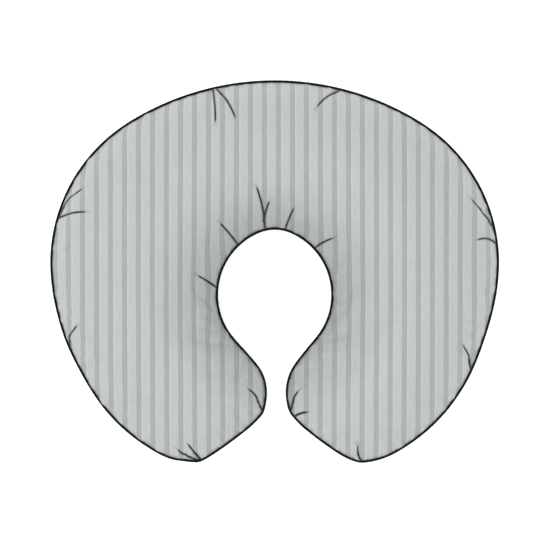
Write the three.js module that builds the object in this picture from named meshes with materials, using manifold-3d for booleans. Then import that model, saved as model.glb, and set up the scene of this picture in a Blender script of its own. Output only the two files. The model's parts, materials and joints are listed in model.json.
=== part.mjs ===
// Nursing pillow: a C-shaped cushion that wraps round a waist. A removable cover of two striped panels is piped
// round its seam and closes with a zip along the back. Inside it a stuffed liner holds the fibre fill.
// Millimetres, +Z up. The pillow rests on z = 0, its closed back faces +Y and its opening faces -Y.

import * as THREE from "three";
import { mergeVertices } from "three/addons/utils/BufferGeometryUtils.js";
import Module from "manifold-3d";

// ---- Driving dimensions -------------------------------------------------------------------------------------

const THICKNESS = 145; // floor to crown
const SEAM_HEIGHT = 62; // floor to the plane of the piped seam

// The seam line is a chain of arcs, from the middle of the back clockwise round the right arm and back through
// the opening. turn is in degrees, and negative where the outline is hollow. steps is an arc's number of chords.
const OUTER_EDGE = [
  { name: "back, above the zip", radius: 330, turn: 26, steps: 4, zipped: true },
  { name: "back, end of the zip", radius: 330, turn: 2, steps: 1 },
  { name: "back, past the zip", radius: 330, turn: 4, steps: 1 },
  { name: "shoulder", radius: 198, turn: 66, steps: 6 },
  { name: "side", radius: 321, turn: 24, steps: 3 },
  { name: "flank", radius: 210, turn: 33, steps: 4 },
  { name: "arm tip, outer half", radius: 56, turn: 28.5, steps: 3 },
];
const ARM_END = [
  { name: "arm tip, inner half", radius: 56, turn: 28.5, steps: 2 },
  { name: "arm end", radius: 370, turn: 9, steps: 4 },
  { name: "arm nub, outer half", radius: 53, turn: 43.5, steps: 2 },
];
const INNER_EDGE = [
  { name: "arm nub, inner half", radius: 53, turn: 43.5, steps: 5 },
  { name: "throat", radius: 540, turn: 4, steps: 3 },
  { name: "opening side", radius: 82, turn: -109, steps: 10 },
  { name: "opening top", closes: true, turn: -23, steps: 4 },
];

const FABRIC = 1.0; // cover panel, a woven face quilted to thin backing
const LINER_FABRIC = 0.8;
const GAP = 0.4; // between layers that lie on each other
const SEAM_ALLOWANCE = 7.3; // cover fabric turned in along the seam

const PIPING_RADIUS = 1.4;
const PIPING_WALL = 0.45; // bias strip
const PIPING_LEAF_GAP = 0.15; // half the gap between the strip's two leaves
const PIPING_LEAF_END = -9; // the leaves' raw edge, inward from the seam line
const CORD_RADIUS = 0.6;

const ZIP_HALF_ANGLE = 25.8; // zip length over its stops, each way from the middle of the back
const ZIP_STEPS = 16;
const ZIP_BAND = 13.5; // width of the gap that the zip fills, down the cover from the seam
const TAPE_THICKNESS = 0.6;
const CHAIN_CENTRE = 7; // from the seam down to the line where the coils meet
const COIL_GAP = 1.0; // between the two coils
const COIL_WIDTH = 2.1;
const COIL_HEIGHT = 1.7;
const STOP_ANGLE = 0.45; // length of a stop along the zip, in degrees

const SLIDER_LENGTH = 12;
const SLIDER_WIDTH = 8;
const SLIDER_PLATE = 1.0;
const BAIL_WIDTH = 1.4;
const PULL_LENGTH = 24;
const PULL_WIDTH = 6;
const PULL_THICKNESS = 1.0;

const LABEL_WIDTH = 24;
const LABEL_LENGTH = 30;
const LABEL_THICKNESS = 0.5;

// ---- Seam line ----------------------------------------------------------------------------------------------

const DEGREE = Math.PI / 180;
const ACROSS = ARM_END.reduce((sum, arc) => sum + arc.steps, 0); // steps from the outer edge to the inner edge
const HALF_ALONG = OUTER_EDGE.reduce((sum, arc) => sum + arc.steps, 0);
const ALONG = 2 * HALF_ALONG; // steps from the left arm's end round the back to the right arm's end

/** Points along arcs from a start, each with the outward direction (nx, ny) across the seam line there. */
function walk(arcs, start) {
  const stations = [start];
  let { x, y, heading } = start;
  for (const arc of arcs) {
    const side = arc.turn > 0 ? -1 : 1;
    const radius = arc.closes ? x / Math.sin(heading) : arc.radius;
    const centre = { x: x - side * radius * Math.sin(heading), y: y + side * radius * Math.cos(heading) };
    for (let step = 1; step <= arc.steps; step += 1) {
      const h = heading - (arc.turn * DEGREE * step) / arc.steps;
      x = centre.x + side * radius * Math.sin(h);
      y = centre.y - side * radius * Math.cos(h);
      stations.push({ x, y, heading: h, nx: -Math.sin(h), ny: Math.cos(h), zipped: arc.zipped });
    }
    heading -= arc.turn * DEGREE;
  }
  return stations;
}

const backCentre = { x: 0, y: 0, heading: 0, nx: 0, ny: 1, zipped: true };
const outerHalf = walk(OUTER_EDGE, backCentre);
const endHalf = walk(ARM_END, outerHalf.at(-1));
const innerHalf = walk(INNER_EDGE, endHalf.at(-1));
const depthRange = [...outerHalf, ...endHalf, ...innerHalf].map((station) => station.y);
const backY = -(Math.max(...depthRange) + Math.min(...depthRange)) / 2;

const mirrored = (station) => ({ ...station, x: -station.x, nx: -station.nx });
const centred = (station) => ({ ...station, y: station.y + backY });

/** The station at a grid place on the seam line: along from the left arm's end, across from the outer edge. */
function seamStation(along, across) {
  const right = along >= HALF_ALONG;
  const fromBack = Math.abs(along - HALF_ALONG);
  let station = endHalf[across];
  if (across === 0) station = outerHalf[fromBack];
  if (across === ACROSS) station = innerHalf[HALF_ALONG - fromBack];
  return centred(right ? station : mirrored(station));
}

const rimPlaces = [];
for (let i = 0; i <= ALONG; i += 1) rimPlaces.push([i, 0]);
for (let j = 1; j <= ACROSS; j += 1) rimPlaces.push([ALONG, j]);
for (let i = ALONG - 1; i >= 0; i -= 1) rimPlaces.push([i, ACROSS]);
for (let j = ACROSS - 1; j >= 1; j -= 1) rimPlaces.push([0, j]);
const seam = rimPlaces.map(([i, j]) => seamStation(i, j)); // clockwise from the left arm's tip
const gridIndex = (i, j) => i * (ACROSS + 1) + j;
const rimIndices = rimPlaces.map(([i, j]) => gridIndex(i, j));

const insetPoint = (station, inset) =>
  new THREE.Vector2(station.x - station.nx * inset, station.y - station.ny * inset);

// ---- Skins: one surface of a panel, blown up over the area inside the seam line ---------------------------

const END_FADE = 11; // grid steps over which the arm end's bulge fades from the grid
const CROWN_FULLNESS = 0.35; // how much fuller than a parabola the top is
const FLOOR_SPREAD = 1.45; // how far the floor flattens the underside
const FLOOR_ROUNDING = 1.6;

/** Grid of plan points inside the seam line set in by inset. Rows are closer together next to the seam. */
function planGrid(inset) {
  const points = [];
  const edge = (i, j) => insetPoint(seamStation(i, j), inset);
  for (let i = 0; i <= ALONG; i += 1) {
    const end = i < HALF_ALONG ? 0 : ALONG;
    const fade = Math.max(0, 1 - Math.abs(end - i) / END_FADE) ** 2;
    for (let j = 0; j <= ACROSS; j += 1) {
      const s = (1 - Math.cos((Math.PI * j) / ACROSS)) / 2;
      const bulge = edge(end, j).sub(edge(end, 0).lerp(edge(end, ACROSS), s));
      points.push(edge(i, 0).lerp(edge(i, ACROSS), s).addScaledVector(bulge, fade));
    }
  }
  return points;
}

/** The grid's triangles, facing +Z. Diagonals run out of the corners, so the mesh is a mirror image in X. */
const gridTriangles = [];
for (let i = 0; i < ALONG; i += 1) {
  for (let j = 0; j < ACROSS; j += 1) {
    const [a, b] = [gridIndex(i, j), gridIndex(i + 1, j)];
    const [c, d] = [gridIndex(i + 1, j + 1), gridIndex(i, j + 1)];
    const fromFirst = i < HALF_ALONG === j < ACROSS / 2;
    gridTriangles.push(...(fromFirst ? [[a, c, b], [a, d, c]] : [[a, d, b], [b, d, c]]));
  }
}

/** Height of a membrane under even pressure over a plan grid, held at the seam. The highest point is 1. */
function membrane(plan) {
  const links = plan.map(() => new Map());
  const load = plan.map(() => 0);
  const link = (a, b, weight) => links[a].set(b, (links[a].get(b) ?? 0) + weight);
  for (const triangle of gridTriangles) {
    for (let corner = 0; corner < 3; corner += 1) {
      const [a, b, c] = [0, 1, 2].map((step) => triangle[(corner + step) % 3]);
      const toB = plan[b].clone().sub(plan[a]);
      const toC = plan[c].clone().sub(plan[a]);
      const twiceArea = Math.abs(toB.cross(toC));
      const weight = toB.dot(toC) / twiceArea / 2;
      link(b, c, weight);
      link(c, b, weight);
      load[a] += twiceArea / 6;
    }
  }
  const onRim = new Set(rimIndices);
  const height = plan.map(() => 0);
  const sweeps = 400;
  const overRelaxation = 1.7;
  for (let sweep = 0; sweep < sweeps; sweep += 1) {
    for (let a = 0; a < plan.length; a += 1) {
      if (onRim.has(a)) continue;
      let [pull, total] = [load[a], 0];
      for (const [b, weight] of links[a]) {
        pull += weight * height[b];
        total += weight;
      }
      height[a] += overRelaxation * (pull / total - height[a]);
    }
  }
  const highest = Math.max(...height);
  return height.map((value) => value / highest);
}

const plans = new Map();
function planWithMembrane(inset) {
  if (!plans.has(inset)) {
    const plan = planGrid(inset);
    plans.set(inset, { plan, swell: membrane(plan) });
  }
  return plans.get(inset);
}

/** Upper skin: rises from rimUp above the seam plane to crown above the floor. */
function topSkin(inset, rimUp, crown) {
  const { plan, swell } = planWithMembrane(inset);
  const rim = SEAM_HEIGHT + rimUp;
  return plan.map(({ x, y }, index) => {
    const q = swell[index];
    return new THREE.Vector3(x, y, rim + (crown - rim) * q * (1 + CROWN_FULLNESS * (1 - q)));
  });
}

/** Lower skin: falls from rimUp above the seam plane to floor, where it lies flat. */
function bottomSkin(inset, rimUp, floor) {
  const { plan, swell } = planWithMembrane(inset);
  const rim = SEAM_HEIGHT + rimUp;
  return plan.map(({ x, y }, index) => {
    const q = Math.min(1, FLOOR_SPREAD * swell[index]);
    return new THREE.Vector3(x, y, rim - (rim - floor) * (1 - (1 - q) ** FLOOR_ROUNDING));
  });
}

// ---- Solids -------------------------------------------------------------------------------------------------

/** A geometry from points and index triples, with its faces turned outward. */
function solidFrom(points, faces) {
  const volume = faces.reduce((sum, [a, b, c]) => {
    const normal = new THREE.Vector3().crossVectors(points[b], points[c]);
    return sum + points[a].dot(normal);
  }, 0);
  const outward = volume > 0 ? faces : faces.map(([a, b, c]) => [a, c, b]);
  const geometry = new THREE.BufferGeometry().setFromPoints(points);
  geometry.setIndex(outward.flat());
  const merged = mergeVertices(geometry, 1e-4);
  merged.computeVertexNormals();
  return merged;
}

/** Two triangles for each side of a strip between two loops of the same length. */
function strip(from, to) {
  return from.flatMap((a, k) => {
    const next = (k + 1) % from.length;
    return [[a, from[next], to[next]], [a, to[next], to[k]]];
  });
}

/** A sheet with thickness: outer skin, inner skin, and the turned-in edge between their rims. */
function panel(outerSkin, turnedEdge, innerSkin) {
  const points = [...outerSkin, ...innerSkin, ...turnedEdge.flat()];
  const innerStart = outerSkin.length;
  const loops = [rimIndices];
  for (let ring = 0; ring < turnedEdge.length; ring += 1) {
    const start = 2 * innerStart + ring * seam.length;
    loops.push(seam.map((_, k) => start + k));
  }
  loops.push(rimIndices.map((index) => index + innerStart));
  const faces = [...gridTriangles];
  faces.push(...gridTriangles.map(([a, b, c]) => [a, c, b].map((index) => index + innerStart)));
  for (let loop = 1; loop < loops.length; loop += 1) faces.push(...strip(loops[loop - 1], loops[loop]));
  return solidFrom(points, faces);
}

/** A closed profile of [out, up] points carried along stations: a ring, or a bar with flat ends. */
function sweep(profile, stations, isRing) {
  const count = profile.length;
  const points = stations.flatMap((station) =>
    profile.map(([out, up]) => {
      const { x, y } = insetPoint(station, -out);
      return new THREE.Vector3(x, y, SEAM_HEIGHT + up);
    }),
  );
  const section = (k) => profile.map((_, p) => (k % stations.length) * count + p);
  const faces = [];
  const spans = isRing ? stations.length : stations.length - 1;
  for (let k = 0; k < spans; k += 1) {
    faces.push(...strip(section(k), section(k + 1)));
  }
  if (!isRing) {
    const outline = profile.map(([out, up]) => new THREE.Vector2(out, up));
    const area = (a, b, c) => outline[b].clone().sub(outline[a]).cross(outline[c].clone().sub(outline[a]));
    const sameWay = THREE.ShapeUtils.area(outline) > 0;
    const [start, end] = [section(0), section(stations.length - 1)];
    for (const [a, b, c] of THREE.ShapeUtils.triangulateShape(outline, [])) {
      const [first, last] = area(a, b, c) > 0 === sameWay ? [a, c] : [c, a];
      faces.push([start[last], start[b], start[first]], [end[first], end[b], end[last]]);
    }
  }
  return solidFrom(points, faces);
}

const wasm = await Module();
wasm.setup();

/** One solid from several that overlap. */
function join(geometries) {
  const solids = geometries.map((geometry) => {
    const bare = geometry.clone();
    bare.deleteAttribute("normal");
    bare.deleteAttribute("uv");
    const merged = mergeVertices(bare, 1e-4);
    const vertProperties = new Float32Array(merged.getAttribute("position").array);
    const triVerts = new Uint32Array(merged.getIndex().array);
    return new wasm.Manifold(new wasm.Mesh({ numProp: 3, vertProperties, triVerts }));
  });
  const mesh = solids.reduce((whole, solid) => whole.add(solid)).getMesh();
  const geometry = new THREE.BufferGeometry();
  geometry.setAttribute("position", new THREE.BufferAttribute(mesh.vertProperties, 3));
  geometry.setIndex(new THREE.BufferAttribute(mesh.triVerts, 1));
  geometry.computeVertexNormals();
  return geometry;
}

// ---- Materials ----------------------------------------------------------------------------------------------

const material = (color, roughness, metalness = 0) =>
  new THREE.MeshStandardMaterial({ color, roughness, metalness });
const coverFabric = material(0xc1c7c3, 0.85);
const blackTwill = material(0x141414, 0.8);
const cottonCord = material(0xe9e4d8, 0.95);
const zipTape = material(0xa9b1ac, 0.8);
const zipNylon = material(0x9aa39e, 0.45);
const zipMetal = material(0xb9bcbd, 0.3, 1);
const labelSatin = material(0xf4f4f1, 0.4);
const linerCloth = material(0xf1efe9, 0.9);
const fibreFill = material(0xfbfbf9, 1.0);

const pillow = new THREE.Group();

function addMesh(name, geometry, meshMaterial, parent = pillow) {
  const mesh = new THREE.Mesh(geometry, meshMaterial);
  mesh.name = name;
  parent.add(mesh);
}

// ---- Cover --------------------------------------------------------------------------------------------------

const PANEL_RIM_UP = PIPING_LEAF_GAP + PIPING_WALL + 0.3; // panels start clear of the piping's leaves
const COVER_INSET = PIPING_RADIUS + 0.3;
const COVER_INNER_INSET = COVER_INSET + 1.6 * FABRIC; // keeps the fabric's thickness on the steep sides
const HEM_DEPTH = 3; // fabric turned in along the zip

/** A vertex of the rim, moved down the skin by distance towards the next row of the grid. */
function downTheSkin(skin, place, distance) {
  const [i, j] = rimPlaces[place];
  const rimPoint = skin[gridIndex(i, j)];
  const down = skin[gridIndex(i, j + 1)].clone().sub(rimPoint).normalize();
  return rimPoint.clone().addScaledVector(down, distance);
}

function coverTopPanel() {
  const outer = topSkin(COVER_INSET, PANEL_RIM_UP, THICKNESS);
  const inner = topSkin(COVER_INNER_INSET, PANEL_RIM_UP + FABRIC, THICKNESS - FABRIC);
  const allowanceEnd = (up) =>
    seam.map((station) => {
      const { x, y } = insetPoint(station, COVER_INSET + SEAM_ALLOWANCE);
      return new THREE.Vector3(x, y, SEAM_HEIGHT + up);
    });
  return panel(outer, [allowanceEnd(PANEL_RIM_UP), allowanceEnd(PANEL_RIM_UP + FABRIC)], inner);
}

/** The lower panel stops short of the seam along the zip, where its edge is a narrow hem. */
function coverBottomPanel() {
  const outer = bottomSkin(COVER_INSET, -PANEL_RIM_UP, 0);
  const inner = bottomSkin(COVER_INNER_INSET, -PANEL_RIM_UP - FABRIC, FABRIC);
  seam.forEach((station, place) => {
    if (!station.zipped) return;
    const index = rimIndices[place];
    const lowered = [outer, inner].map((skin) => downTheSkin(skin, place, ZIP_BAND));
    outer[index] = lowered[0];
    inner[index] = lowered[1];
  });
  const allowanceEnd = (skin) =>
    seam.map((station, place) => {
      const { z } = skin[rimIndices[place]];
      const depth = station.zipped ? HEM_DEPTH : SEAM_ALLOWANCE;
      const { x, y } = outer[rimIndices[place]];
      return new THREE.Vector3(x - station.nx * depth, y - station.ny * depth, z);
    });
  return panel(outer, [allowanceEnd(outer), allowanceEnd(inner)], inner);
}

addMesh("cover_top_panel", coverTopPanel(), coverFabric);
addMesh("cover_bottom_panel", coverBottomPanel(), coverFabric);

// ---- Piping -------------------------------------------------------------------------------------------------

/** Points [out, up] round a circle, from just above the leaves over the outside to just below them. */
function openCircle(radius, leafUp, chords) {
  const start = Math.PI - Math.asin(leafUp / radius);
  const points = [];
  for (let k = 0; k <= chords; k += 1) {
    const angle = start - (2 * start * k) / chords;
    points.push([radius * Math.cos(angle), radius * Math.sin(angle)]);
  }
  return points;
}

/** A bias strip folded round a cord, its two leaves caught in the seam. */
function pipingStrip() {
  const outerUp = PIPING_LEAF_GAP + PIPING_WALL;
  const outside = openCircle(PIPING_RADIUS, outerUp, 6);
  const inside = openCircle(PIPING_RADIUS - PIPING_WALL, PIPING_LEAF_GAP, 5).reverse();
  const profile = [
    [PIPING_LEAF_END, outerUp],
    ...outside,
    [PIPING_LEAF_END, -outerUp],
    [PIPING_LEAF_END, -PIPING_LEAF_GAP],
    ...inside,
    [PIPING_LEAF_END, PIPING_LEAF_GAP],
  ];
  return sweep(profile, seam, true);
}

function pipingCord() {
  const sides = 5;
  const corner = (k) => [Math.cos((2 * Math.PI * k) / sides), Math.sin((2 * Math.PI * k) / sides)];
  const profile = Array.from({ length: sides }, (_, k) => corner(k).map((value) => value * CORD_RADIUS));
  return sweep(profile, seam, true);
}

addMesh("piping_bias_strip", pipingStrip(), blackTwill);
addMesh("piping_filler_cord", pipingCord(), cottonCord);

// ---- Liner and fill -----------------------------------------------------------------------------------------

const LINER_INSET = COVER_INSET + SEAM_ALLOWANCE + 1; // clear of the cover's turned-in seam
const LINER_INNER_INSET = LINER_INSET + 1.1 * LINER_FABRIC;
const LINER_RIM_UP = 0.2; // half the gap between the two liner panels at their seam
const FILL_INSET = LINER_INNER_INSET + GAP;
const linerDepth = FABRIC + GAP; // below the cover's outside
const fillDepth = linerDepth + LINER_FABRIC + GAP;

function linerTopPanel() {
  const outer = topSkin(LINER_INSET, LINER_RIM_UP, THICKNESS - linerDepth);
  const inner = topSkin(LINER_INNER_INSET, LINER_RIM_UP, THICKNESS - linerDepth - LINER_FABRIC);
  return panel(outer, [], inner);
}

function linerBottomPanel() {
  const outer = bottomSkin(LINER_INSET, -LINER_RIM_UP, linerDepth);
  const inner = bottomSkin(LINER_INNER_INSET, -LINER_RIM_UP, linerDepth + LINER_FABRIC);
  return panel(outer, [], inner);
}

function fillCore() {
  return panel(topSkin(FILL_INSET, 0, THICKNESS - fillDepth), [], bottomSkin(FILL_INSET, 0, fillDepth));
}

addMesh("liner_top_panel", linerTopPanel(), linerCloth);
addMesh("liner_bottom_panel", linerBottomPanel(), linerCloth);
addMesh("fill_core", fillCore(), fibreFill);

// ---- Zip ----------------------------------------------------------------------------------------------------
// The zip lies on a cone round the back's centre of curvature. down is measured along the cone from the tape's
// top edge, and out is measured off the face of the tape.

const backRadius = OUTER_EDGE[0].radius;
const zipPivotY = backY - backRadius;
const bottomOutside = bottomSkin(COVER_INSET, -PANEL_RIM_UP, 0);
const skinDown = downTheSkin(bottomOutside, HALF_ALONG, 1).sub(bottomOutside[gridIndex(HALF_ALONG, 0)]);
const coneSlope = Math.atan2(-skinDown.z, -skinDown.y); // below horizontal
const TAPE_RECESS = 0.9; // the tape's face lies this far inside the cover's edge
const tapeTop = { out: -COVER_INSET - TAPE_RECESS, up: -PANEL_RIM_UP };

const onCone = (down, out) => [
  tapeTop.out - down * Math.cos(coneSlope) + out * Math.sin(coneSlope),
  tapeTop.up - down * Math.sin(coneSlope) - out * Math.cos(coneSlope),
];

/** Stations round the back between two angles, measured clockwise from its middle. */
function zipStations(from, to, steps) {
  return Array.from({ length: steps + 1 }, (_, k) => {
    const angle = (from + ((to - from) * k) / steps) * DEGREE;
    const [nx, ny] = [Math.sin(angle), Math.cos(angle)];
    return { x: backRadius * nx, y: zipPivotY + backRadius * ny, nx, ny };
  });
}

const coneBar = ([near, far], [inside, outside]) => [
  onCone(near, inside),
  onCone(far, inside),
  onCone(far, outside),
  onCone(near, outside),
];

const CHAIN_CLEARANCE = 0.3; // off the tape's face
const tapeEdge = COIL_GAP / 2 + 0.1; // each tape stops just short of the chain's centre line
const tapeLine = zipStations(-ZIP_HALF_ANGLE, ZIP_HALF_ANGLE, ZIP_STEPS);

/** The upper tape turns in under the piping, where the seam catches it. */
function upperTape() {
  const turnedUp = tapeTop.up - TAPE_THICKNESS;
  const turnedEnd = PIPING_LEAF_END + 0.5;
  const foldDown = (TAPE_THICKNESS * (1 + Math.cos(coneSlope))) / Math.sin(coneSlope);
  const edge = CHAIN_CENTRE - tapeEdge;
  const profile = [
    [turnedEnd, tapeTop.up],
    onCone(0, 0),
    onCone(edge, 0),
    onCone(edge, -TAPE_THICKNESS),
    onCone(foldDown, -TAPE_THICKNESS),
    [turnedEnd, turnedUp],
  ];
  return sweep(profile, tapeLine, false);
}

function lowerTape() {
  const sewnEdge = ZIP_BAND - 0.8;
  return sweep(coneBar([CHAIN_CENTRE + tapeEdge, sewnEdge], [-TAPE_THICKNESS, 0]), tapeLine, false);
}

const coilOut = [CHAIN_CLEARANCE, CHAIN_CLEARANCE + COIL_HEIGHT];
const coilAngle = ZIP_HALF_ANGLE - STOP_ANGLE - 0.1;
const upperCoilDown = [CHAIN_CENTRE - COIL_GAP / 2 - COIL_WIDTH, CHAIN_CENTRE - COIL_GAP / 2];
const lowerCoilDown = [CHAIN_CENTRE + COIL_GAP / 2, CHAIN_CENTRE + COIL_GAP / 2 + COIL_WIDTH];

/** One coil's envelope, sewn along its tape. */
function coil(down) {
  return sweep(coneBar(down, coilOut), zipStations(-coilAngle, coilAngle, ZIP_STEPS), false);
}

/** A stop clamped over the end of one coil, or of both. */
function stop(down, atEnd) {
  const wide = [down[0] - 0.3, down[1] + 0.3];
  const tall = [coilOut[0], coilOut[1] + 0.3];
  const ends = [atEnd * (ZIP_HALF_ANGLE - STOP_ANGLE), atEnd * ZIP_HALF_ANGLE].sort((a, b) => a - b);
  return sweep(coneBar(wide, tall), zipStations(...ends, 1), false);
}

addMesh("zip_tape_upper", upperTape(), zipTape);
addMesh("zip_tape_lower", lowerTape(), zipTape);
addMesh("zip_coil_upper", coil(upperCoilDown), zipNylon);
addMesh("zip_coil_lower", coil(lowerCoilDown), zipNylon);
addMesh("zip_top_stop_upper", stop(upperCoilDown, 1), zipMetal);
addMesh("zip_top_stop_lower", stop(lowerCoilDown, 1), zipMetal);
addMesh("zip_bottom_stop", stop([upperCoilDown[0], lowerCoilDown[1]], -1), zipMetal);

// ---- Zip slider and its pull, closed, at the right-hand end of the zip --------------------------------------
// In this group X runs along the chain, Y down the cone, and Z out from the tape's face.

const sliderHalfAngle = SLIDER_LENGTH / 2 / backRadius / DEGREE;
const closedAngle = ZIP_HALF_ANGLE - STOP_ANGLE - sliderHalfAngle - 0.2;
const pivot = new THREE.Group();
pivot.position.set(0, zipPivotY, SEAM_HEIGHT);
pivot.rotation.z = -closedAngle * DEGREE;
const slider = new THREE.Group();
const [chainOut, chainUp] = onCone(CHAIN_CENTRE, 0);
slider.position.set(0, backRadius + chainOut, chainUp);
slider.rotation.x = Math.PI + coneSlope;
pivot.add(slider);
pillow.add(pivot);

const PLATE_CLEARANCE = 0.45;
const frontPlate = coilOut[1] + PLATE_CLEARANCE; // inside face of the front plate
const backPlate = -TAPE_THICKNESS - PLATE_CLEARANCE; // inside face of the back plate
const frontFace = frontPlate + SLIDER_PLATE;
const BAIL_WINDOW = { length: 4.4, height: 1.8 };
const BAIL_WALL = 1.1;
const pullAxisOut = frontFace + BAIL_WINDOW.height / 2;

/** A plate with rounded ends, lying across Z between two levels. */
function plate(length, width, low, high) {
  const shape = new THREE.Shape();
  const corner = width / 4;
  const [x, y] = [length / 2, width / 2];
  shape.moveTo(-x + corner, -y);
  shape.lineTo(x - corner, -y);
  shape.absarc(x - corner, -y + corner, corner, -Math.PI / 2, 0);
  shape.absarc(x - corner, y - corner, corner, 0, Math.PI / 2);
  shape.absarc(-x + corner, y - corner, corner, Math.PI / 2, Math.PI);
  shape.absarc(-x + corner, -y + corner, corner, Math.PI, (3 * Math.PI) / 2);
  const extrusion = { depth: high - low, bevelEnabled: false, curveSegments: 3 };
  const geometry = new THREE.ExtrudeGeometry(shape, extrusion);
  return geometry.translate(0, 0, low);
}

/** The arch on the slider's front that the pull hangs from. */
function bail() {
  const bite = 0.3; // how far its feet sink into the front plate
  const halfLength = BAIL_WINDOW.length / 2 + BAIL_WALL;
  const top = BAIL_WINDOW.height + BAIL_WALL;
  const shape = new THREE.Shape([
    new THREE.Vector2(-halfLength, -bite),
    new THREE.Vector2(-halfLength + BAIL_WALL, -bite),
    new THREE.Vector2(-halfLength + BAIL_WALL, BAIL_WINDOW.height),
    new THREE.Vector2(halfLength - BAIL_WALL, BAIL_WINDOW.height),
    new THREE.Vector2(halfLength - BAIL_WALL, -bite),
    new THREE.Vector2(halfLength, -bite),
    new THREE.Vector2(halfLength, top - BAIL_WALL / 2),
    new THREE.Vector2(halfLength - BAIL_WALL / 2, top),
    new THREE.Vector2(-halfLength + BAIL_WALL / 2, top),
    new THREE.Vector2(-halfLength, top - BAIL_WALL / 2),
  ]);
  const geometry = new THREE.ExtrudeGeometry(shape, { depth: BAIL_WIDTH, bevelEnabled: false });
  geometry.translate(0, 0, -BAIL_WIDTH / 2).rotateX(Math.PI / 2);
  return geometry.translate(0, 0, frontFace);
}

/** The post that joins the two plates, in the gap between the coils. */
function post() {
  const postLength = 2.4;
  const postWidth = 0.5;
  const height = frontPlate - backPlate + SLIDER_PLATE;
  const geometry = new THREE.BoxGeometry(postLength, postWidth, height);
  return geometry.translate(SLIDER_LENGTH / 2 - postLength, 0, (frontPlate + backPlate) / 2);
}

function sliderBody() {
  return join([
    plate(SLIDER_LENGTH, SLIDER_WIDTH, frontPlate, frontFace),
    plate(SLIDER_LENGTH, SLIDER_WIDTH, backPlate - SLIDER_PLATE, backPlate),
    post(),
    bail(),
  ]);
}

/** A flat tab with an eye. The bar at the end of the eye passes through the bail. */
function pullTab() {
  const eye = { length: 5.2, width: BAIL_WIDTH + 1.0, bar: 0.5 };
  const shape = new THREE.Shape();
  const y = PULL_WIDTH / 2;
  const neck = eye.width / 2 + 0.9;
  const far = -PULL_LENGTH;
  shape.moveTo(eye.bar, -neck);
  shape.lineTo(eye.bar, neck);
  shape.lineTo(-eye.length, neck);
  shape.lineTo(-eye.length - 2, y);
  shape.lineTo(far + y, y);
  shape.absarc(far + y, 0, y, Math.PI / 2, (3 * Math.PI) / 2);
  shape.lineTo(-eye.length - 2, -y);
  shape.lineTo(-eye.length, -neck);
  const hole = new THREE.Path([
    new THREE.Vector2(-eye.bar, -eye.width / 2),
    new THREE.Vector2(-eye.length, -eye.width / 2),
    new THREE.Vector2(-eye.length, eye.width / 2),
    new THREE.Vector2(-eye.bar, eye.width / 2),
  ]);
  shape.holes.push(hole);
  const options = { depth: PULL_THICKNESS, bevelEnabled: false, curveSegments: 6 };
  const geometry = new THREE.ExtrudeGeometry(shape, options);
  return geometry.translate(0, 0, pullAxisOut - PULL_THICKNESS / 2);
}

addMesh("zip_slider_body", sliderBody(), zipMetal, slider);
addMesh("zip_pull_tab", pullTab(), zipMetal, slider);

// ---- Care label, hanging from the seam at the left shoulder -------------------------------------------------
// In this group X runs along the seam, Y down the cover, and Z out from it.

const LABEL_STEP = 3; // which chord of the shoulder it hangs from, counted from the back
const LABEL_OFF_COVER = 0.8;
const LABEL_BELOW_SEAM = 1.6;

function labelGroup() {
  const backSteps = OUTER_EDGE[0].steps + OUTER_EDGE[1].steps + OUTER_EDGE[2].steps;
  const place = HALF_ALONG - backSteps - LABEL_STEP;
  const rimMiddle = (row) => {
    const [a, b] = [bottomOutside[gridIndex(place, row)], bottomOutside[gridIndex(place + 1, row)]];
    return a.clone().lerp(b, 0.5);
  };
  const edge = (k) => bottomOutside[gridIndex(k, 0)].clone();
  const along = edge(place + 1).sub(edge(place)).normalize();
  const fall = rimMiddle(1).sub(rimMiddle(0));
  const down = fall.addScaledVector(along, -fall.dot(along)).normalize();
  const out = new THREE.Vector3().crossVectors(along, down);
  const group = new THREE.Group();
  group.setRotationFromMatrix(new THREE.Matrix4().makeBasis(along, down, out));
  group.position.copy(rimMiddle(0));
  group.position.addScaledVector(down, LABEL_BELOW_SEAM);
  group.position.addScaledVector(out, LABEL_OFF_COVER);
  return group;
}

const label = labelGroup();
pillow.add(label);
const labelSheet = new THREE.BoxGeometry(LABEL_WIDTH, LABEL_LENGTH, LABEL_THICKNESS);
addMesh("care_label", labelSheet.translate(0, LABEL_LENGTH / 2, LABEL_THICKNESS / 2), labelSatin, label);

pillow.updateMatrixWorld(true);
export default pillow;
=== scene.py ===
"""Looks of a C-shaped nursing pillow: striped cover, black piping, back zip, liner and fill.

Lengths are millimetres until a mesh is made. The seam line, its height, the zip's cone and every
crown height are read from the frame.
"""

import functools
import json
import math

import bpy
import numpy as np
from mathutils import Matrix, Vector, geometry, kdtree, noise
from mathutils.bvhtree import BVHTree


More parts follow.
